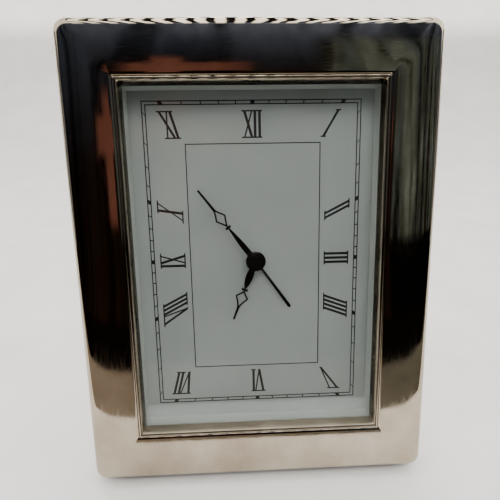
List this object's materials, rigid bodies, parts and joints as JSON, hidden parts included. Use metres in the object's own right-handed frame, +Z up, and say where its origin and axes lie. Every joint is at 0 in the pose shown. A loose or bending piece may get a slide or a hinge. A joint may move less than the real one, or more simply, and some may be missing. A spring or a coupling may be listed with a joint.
{
  "type": "electric clock",
  "caption": "Leaning desk alarm clock in a polished picture frame, with a rectangular Roman-numeral dial, a battery alarm movement and a hinged strut.",
  "frame": {"origin": "centre of the bounding box on the table that the clock stands on", "axes": "+X to the right and +Y to the back as seen from the front of the clock, +Z up"},
  "size_m": [0.127, 0.0568, 0.1617],
  "materials": {
    "silver": "polished silver sheet with fine scratches",
    "wood": "stained and waxed",
    "glass": "clear flat glass",
    "spacer": "pale mount board",
    "dial": "white lacquer with black print",
    "hands": "black lacquer",
    "brass": "turned and stamped",
    "steel": "bright",
    "copper": "enamelled copper wire",
    "plastic": "fine satin moulding",
    "nylon": "natural nylon",
    "circuit": "green laminate",
    "resin": "black resin",
    "cell": "printed sleeve, left plain"
  },
  "bodies": {
    "clock": {"silver_frame": "silver", "wood_former": "wood", "window_glass": "glass", "spacer_frame": "spacer", "dial_plate": "dial", "back_board": "wood", "movement_front_case": "plastic", "movement_rear_case": "plastic", "middle_plate": "nylon", "train_bridge": "nylon", "stator": "steel", "coil_winding": "copper", "coil_bobbin": "nylon", "coil_core": "steel", "battery": "cell", "flat_contact": "brass", "spring_contact": "brass", "circuit_board": "circuit", "chip": "resin", "crystal": "steel", "buzzer": "brass", "hinge_fixed_leaf": "brass", "hinge_pin": "steel", "board_screw_1": "brass", "board_screw_2": "brass", "board_screw_3": "brass", "board_screw_4": "brass", "movement_screw_1": "brass", "movement_screw_2": "brass", "case_screw_1": "brass", "case_screw_2": "brass", "case_screw_3": "brass", "case_screw_4": "brass", "hinge_screw_1": "brass", "hinge_screw_2": "brass"},
    "minute_hand_set": {"minute_hand": "hands", "hand_cap": "hands", "minute_arbor": "brass"},
    "hour_hand_set": {"hour_hand": "hands", "hour_wheel": "nylon"},
    "motion_wheel": {"motion_wheel": "nylon"},
    "time_knob": {"time_knob": "plastic"},
    "alarm_hand_set": {"alarm_hand": "hands", "alarm_wheel": "nylon"},
    "alarm_knob": {"alarm_knob": "plastic"},
    "rotor": {"rotor": "steel"},
    "intermediate_wheel": {"intermediate_wheel": "nylon"},
    "seconds_wheel": {"seconds_wheel": "nylon"},
    "third_wheel": {"third_wheel": "nylon"},
    "centre_wheel": {"centre_wheel": "brass"},
    "strut": {"strut": "wood", "hinge_strut_leaf": "brass", "strut_screw_1": "brass", "strut_screw_2": "brass"},
    "battery_door": {"battery_door": "plastic"},
    "alarm_switch": {"alarm_switch": "plastic"}
  },
  "joints": [
    {"name": "minute_hand_turn", "type": "hinge", "parent": "clock", "child": "minute_hand_set", "pos_m": [0, 0.00444, 0.08111], "axis": [0, 0.9703, -0.2419], "continuous": true},
    {"name": "hour_hand_turn", "type": "hinge", "parent": "clock", "child": "hour_hand_set", "pos_m": [0, 0.00444, 0.08111], "axis": [0, 0.9703, -0.2419], "continuous": true},
    {"name": "motion_wheel_turn", "type": "hinge", "parent": "clock", "child": "motion_wheel", "pos_m": [0.00719, 0.0036, 0.07771], "axis": [0, 0.9703, -0.2419], "continuous": true},
    {"name": "time_knob_turn", "type": "hinge", "parent": "clock", "child": "time_knob", "pos_m": [0.01547, 0.00445, 0.08112], "axis": [0, 0.9703, -0.2419], "continuous": true},
    {"name": "alarm_hand_turn", "type": "hinge", "parent": "clock", "child": "alarm_hand_set", "pos_m": [0, 0.00444, 0.08111], "axis": [0, 0.9703, -0.2419], "continuous": true},
    {"name": "alarm_knob_turn", "type": "hinge", "parent": "clock", "child": "alarm_knob", "pos_m": [-0.012, 0.00444, 0.08111], "axis": [0, 0.9703, -0.2419], "continuous": true},
    {"name": "rotor_turn", "type": "hinge", "parent": "clock", "child": "rotor", "pos_m": [-0.01138, 0.00644, 0.08911], "axis": [0, 0.9703, -0.2419], "continuous": true},
    {"name": "intermediate_wheel_turn", "type": "hinge", "parent": "clock", "child": "intermediate_wheel", "pos_m": [-0.00645, 0.006, 0.08737], "axis": [0, 0.9703, -0.2419], "continuous": true},
    {"name": "seconds_wheel_turn", "type": "hinge", "parent": "clock", "child": "seconds_wheel", "pos_m": [0, 0.00444, 0.08111], "axis": [0, 0.9703, -0.2419], "continuous": true},
    {"name": "third_wheel_turn", "type": "hinge", "parent": "clock", "child": "third_wheel", "pos_m": [0.0045, 0.00633, 0.08868], "axis": [0, 0.9703, -0.2419], "continuous": true},
    {"name": "centre_wheel_turn", "type": "hinge", "parent": "clock", "child": "centre_wheel", "pos_m": [0, 0.00444, 0.08111], "axis": [0, 0.9703, -0.2419], "continuous": true},
    {"name": "strut_hinge", "type": "hinge", "parent": "clock", "child": "strut", "pos_m": [0, 0.00022, 0.04228], "axis": [1, 0, 0], "range_deg": [-28, 0]},
    {"name": "battery_door_slide", "type": "slide", "parent": "clock", "child": "battery_door", "axis": [0, -0.2419, -0.9703], "range_m": [0, 0.006]},
    {"name": "alarm_switch_slide", "type": "slide", "parent": "clock", "child": "alarm_switch", "axis": [1, 0, 0], "range_m": [0, 0.004]}
  ],
  "couplings": [
    {"joint": "motion_wheel_turn", "follows": "minute_hand_turn", "ratio": -0.33333},
    {"joint": "hour_hand_turn", "follows": "minute_hand_turn", "ratio": 0.083333},
    {"joint": "time_knob_turn", "follows": "minute_hand_turn", "ratio": 0.66667},
    {"joint": "alarm_knob_turn", "follows": "alarm_hand_turn", "ratio": -3},
    {"joint": "intermediate_wheel_turn", "follows": "rotor_turn", "ratio": -0.16667},
    {"joint": "seconds_wheel_turn", "follows": "rotor_turn", "ratio": 0.033333},
    {"joint": "third_wheel_turn", "follows": "rotor_turn", "ratio": -0.0044444},
    {"joint": "centre_wheel_turn", "follows": "rotor_turn", "ratio": 0.00055556}
  ]
}
